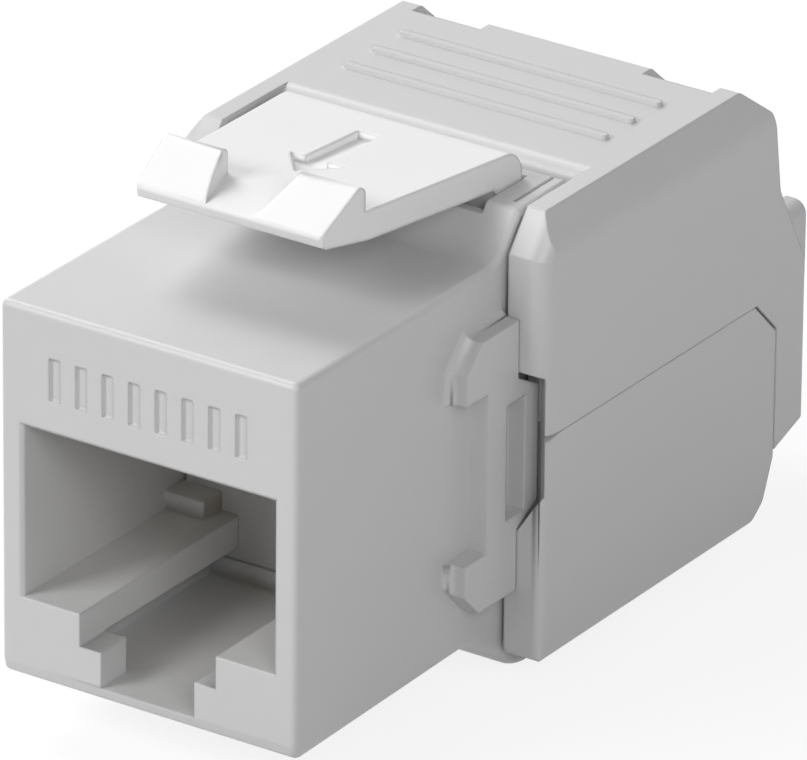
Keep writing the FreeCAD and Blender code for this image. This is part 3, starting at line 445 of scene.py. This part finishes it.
def moulding(node, name):
    """Copy of a CAD node as clean polygons, which replaces it."""
    piece = bpy.data.objects.new(name, frame["nodes"][node].data.copy())
    bpy.context.scene.collection.objects.link(piece)
    select_only(piece)
    bpy.ops.object.mode_set(mode="EDIT")
    bpy.ops.mesh.select_all(action="SELECT")
    bpy.ops.mesh.remove_doubles(threshold=MERGE)
    bpy.ops.mesh.dissolve_limited(angle_limit=FLAT)
    bpy.ops.object.mode_set(mode="OBJECT")
    record = frame["record"]
    bodies = record["behaviour"]["bodies"]
    body = next(body for body, nodes in bodies.items() if node in nodes)
    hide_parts(node)
    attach(piece, body)
    return piece


def finish_modifier(piece, name, kind, **settings):
    """Add a modifier to the piece and apply it."""
    modifier = piece.modifiers.new(name, kind)
    for key, value in settings.items():
        setattr(modifier, key, value)
    select_only(piece)
    bpy.ops.object.modifier_apply(modifier=name)


def carve(piece, cutter):
    """Take the cutter out of the piece, then discard the cutter."""
    finish_modifier(
        piece, "carve", "BOOLEAN", operation="DIFFERENCE", solver="EXACT", object=cutter)
    bpy.data.objects.remove(cutter)


def smooth_faces(piece):
    """Round the shading over the fillets, and keep the large faces flat."""
    select_only(piece)
    bpy.ops.object.shade_smooth_by_angle(angle=SMOOTH)
    finish_modifier(
        piece, "flat_faces", "WEIGHTED_NORMAL",
        mode="FACE_AREA", weight=LARGE_FACE_WEIGHT, keep_sharp=True)


def shift(piece, offset, chosen):
    """Move the points for which chosen(place) is true."""
    select_only(piece)
    bpy.ops.object.mode_set(mode="EDIT")
    bpy.ops.mesh.select_all(action="DESELECT")
    bpy.ops.object.mode_set(mode="OBJECT")
    for vertex in piece.data.vertices:
        vertex.select = chosen(vertex.co)
    bpy.ops.object.mode_set(mode="EDIT")
    bpy.ops.transform.translate(value=offset)
    bpy.ops.object.mode_set(mode="OBJECT")


def lower_foot(housing):
    """Bring the foot of the front face and the underside close behind it down."""
    shift(housing, (0, 0, -FOOT_DROP), lambda co: abs(co.z) < FOOT_TOP and co.y < FOOT_REAR)


def close_seam(cover):
    """Bring the lower cover's rim and rear wall up to the upper cover, but for a hair's gap."""
    rim_low, rim_high = SEAM_RIM
    rear_near, rear_far = SEAM_REAR
    shift(cover, (0, 0, SEAM_CLOSING), lambda co: rim_low < co.z < rim_high and co.y > SEAM_FRONT)
    shift(cover, (0, SEAM_CLOSING, 0), lambda co: rear_near < co.y < rear_far)


def latch_top(along):
    """Height of the latch's top plane at a place along the jack."""
    return LATCH_REAR_TOP + math.tan(LATCH_PITCH) * (LATCH_REAR - along)


def engrave_arrow(latch):
    """Cut a shaft and a three-cornered head into the latch's top, with one flat floor."""
    bpy.ops.object.select_all(action="DESELECT")
    middle = (ARROW_BARBS + ARROW_TAIL) / 2
    width = ARROW_SHAFT_RIGHT - ARROW_SHAFT_LEFT
    length = ARROW_TAIL - ARROW_BARBS + ARROW_SHAFT_SPARE
    bpy.ops.mesh.primitive_cube_add(
        size=1, rotation=(-LATCH_PITCH, 0, 0), scale=(width, length, 2 * ARROW_DEPTH),
        location=((ARROW_SHAFT_LEFT + ARROW_SHAFT_RIGHT) / 2, middle, latch_top(middle)))
    carve(latch, bpy.context.object)
    radius = ARROW_HEAD_WIDTH / math.sqrt(3)
    shorten = (ARROW_BARBS - ARROW_TIP) / (1.5 * radius)
    middle = ARROW_TIP + radius * shorten
    bpy.ops.object.select_all(action="DESELECT")
    bpy.ops.mesh.primitive_cylinder_add(
        vertices=3, radius=radius, depth=2 * ARROW_DEPTH, rotation=(LATCH_PITCH, 0, math.pi),
        location=(0, middle, latch_top(middle)), scale=(1, shorten, 1))
    carve(latch, bpy.context.object)


def engrave_marks(housing):
    """Cut a row of plain contact marks into the front face, one for each contact."""
    bpy.ops.object.select_all(action="DESELECT")
    bpy.ops.mesh.primitive_cube_add(
        size=1, location=(-MARK_PITCH * (MARK_COUNT - 1) / 2, 0, (MARK_LOW + MARK_HIGH) / 2),
        scale=(MARK_WIDTH, 2 * MARK_DEPTH, MARK_HIGH - MARK_LOW))
    row = bpy.context.object
    bpy.ops.object.transform_apply(location=False, rotation=False, scale=True)
    finish_modifier(row, "round", "BEVEL", width=MARK_ROUND, segments=2, limit_method="NONE")
    finish_modifier(
        row, "row", "ARRAY", count=MARK_COUNT, use_relative_offset=False,
        use_constant_offset=True, constant_offset_displace=(MARK_PITCH, 0, 0))
    carve(housing, row)


def set_camera():
    azimuth = math.radians(AZIMUTH)
    elevation = math.radians(ELEVATION)
    back = Vector((math.sin(azimuth) * math.cos(elevation),
                   -math.cos(azimuth) * math.cos(elevation), math.sin(elevation)))
    right = Vector((math.cos(azimuth), math.sin(azimuth), 0))
    up = back.cross(right)
    roll = math.radians(ROLL)
    tilted_right = right * math.cos(roll) + up * math.sin(roll)
    tilted_up = up * math.cos(roll) - right * math.sin(roll)
    place = tilted_right * CAMERA_RIGHT + tilted_up * CAMERA_UP + back * CAMERA_BACK
    data = bpy.data.cameras.new("camera")
    data.sensor_width = SENSOR
    data.lens = LENS
    data.clip_start, data.clip_end = CAMERA_SEES
    camera = bpy.data.objects.new("camera", data)
    turn = Matrix((tilted_right, tilted_up, back)).transposed()
    camera.matrix_world = Matrix.Translation(place) @ turn.to_4x4()
    bpy.context.scene.collection.objects.link(camera)
    bpy.context.scene.camera = camera


def soft_lamp(name, place, size, power):
    data = bpy.data.lights.new(name, "AREA")
    data.shape = "SQUARE"
    data.size = size
    data.energy = power
    lamp = bpy.data.objects.new(name, data)
    direction = Vector(LAMP_TARGET) - Vector(place)
    turn = direction.to_track_quat("-Z", "Y").to_matrix()
    lamp.matrix_world = Matrix.Translation(place) @ turn.to_4x4()
    bpy.context.scene.collection.objects.link(lamp)


def set_sky():
    """Even pale light, which the camera, mirrors and clear parts see as plain white."""
    world = bpy.data.worlds.new("studio")
    bpy.context.scene.world = world
    nodes = Nodes(world)
    light, white = (
        nodes.node("ShaderNodeBackground", {}, {"Color": grey(1), "Strength": strength})
        for strength in (SKY, 1.0))
    sky = nodes.node("ShaderNodeMixShader", {}, {0: nodes.seen(), 1: light, 2: white})
    nodes.node("ShaderNodeOutputWorld", {}, {"Surface": sky})


def set_floor(height):
    bpy.ops.object.select_all(action="DESELECT")
    bpy.ops.mesh.primitive_plane_add(size=FLOOR_SIZE, location=(0, 0, height))
    floor = bpy.context.object
    floor.name = "floor"
    bpy.ops.object.transform_apply(location=True)
    floor.data.materials.append(pale_floor("pale_floor"))


def paint(finishes, pieces):
    """Give every CAD node, and the piece that stands for it, its own finish or its slot's."""
    for part in frame["record"]["subparts"]:
        finish = finishes.get(part["node"], finishes[part["material_slot"]])
        for obj in (frame["nodes"][part["node"]], pieces.get(part["node"])):
            if obj:
                obj.data.materials.clear()
                obj.data.materials.append(finish)


def main():
    size_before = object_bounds()
    pieces = {
        "front_housing": moulding("front_housing", "housing_moulding"),
        "snap_latch": moulding("snap_latch", "latch_moulding"),
        "lower_cover": moulding("lower_cover", "lower_cover_moulding"),
    }
    lower_foot(pieces["front_housing"])
    close_seam(pieces["lower_cover"])
    engrave_marks(pieces["front_housing"])
    engrave_arrow(pieces["snap_latch"])
    for piece in pieces.values():
        smooth_faces(piece)
    paint({
        "housing_plastic": moulded_plastic("light_grey_moulding", HOUSING_GREY),
        "latch_plastic": moulded_plastic("white_moulding", LATCH_WHITE, softness=LATCH_SOFTNESS),
        "inner_plastic": moulded_plastic("inner_grey_moulding", INNER_GREY, gloss=MATT),
        "terminal_block": terminal_plastic("marked_grey_moulding", INNER_GREY),
        "board": circuit_laminate("green_laminate"),
        "contact_gold": contact_metal("gold_plated_wire", GOLD, GOLD_BARE, GOLD_END),
        "blade_metal": contact_metal("tinned_blade", TIN, TIN_BARE, TIN_END),
    }, pieces)
    set_camera()
    set_sky()
    set_floor(size_before[0].z)
    for name, (place, size, power) in LAMPS.items():
        soft_lamp(name, place, size, power)
    bpy.context.scene.view_settings.view_transform = "Standard"


main()
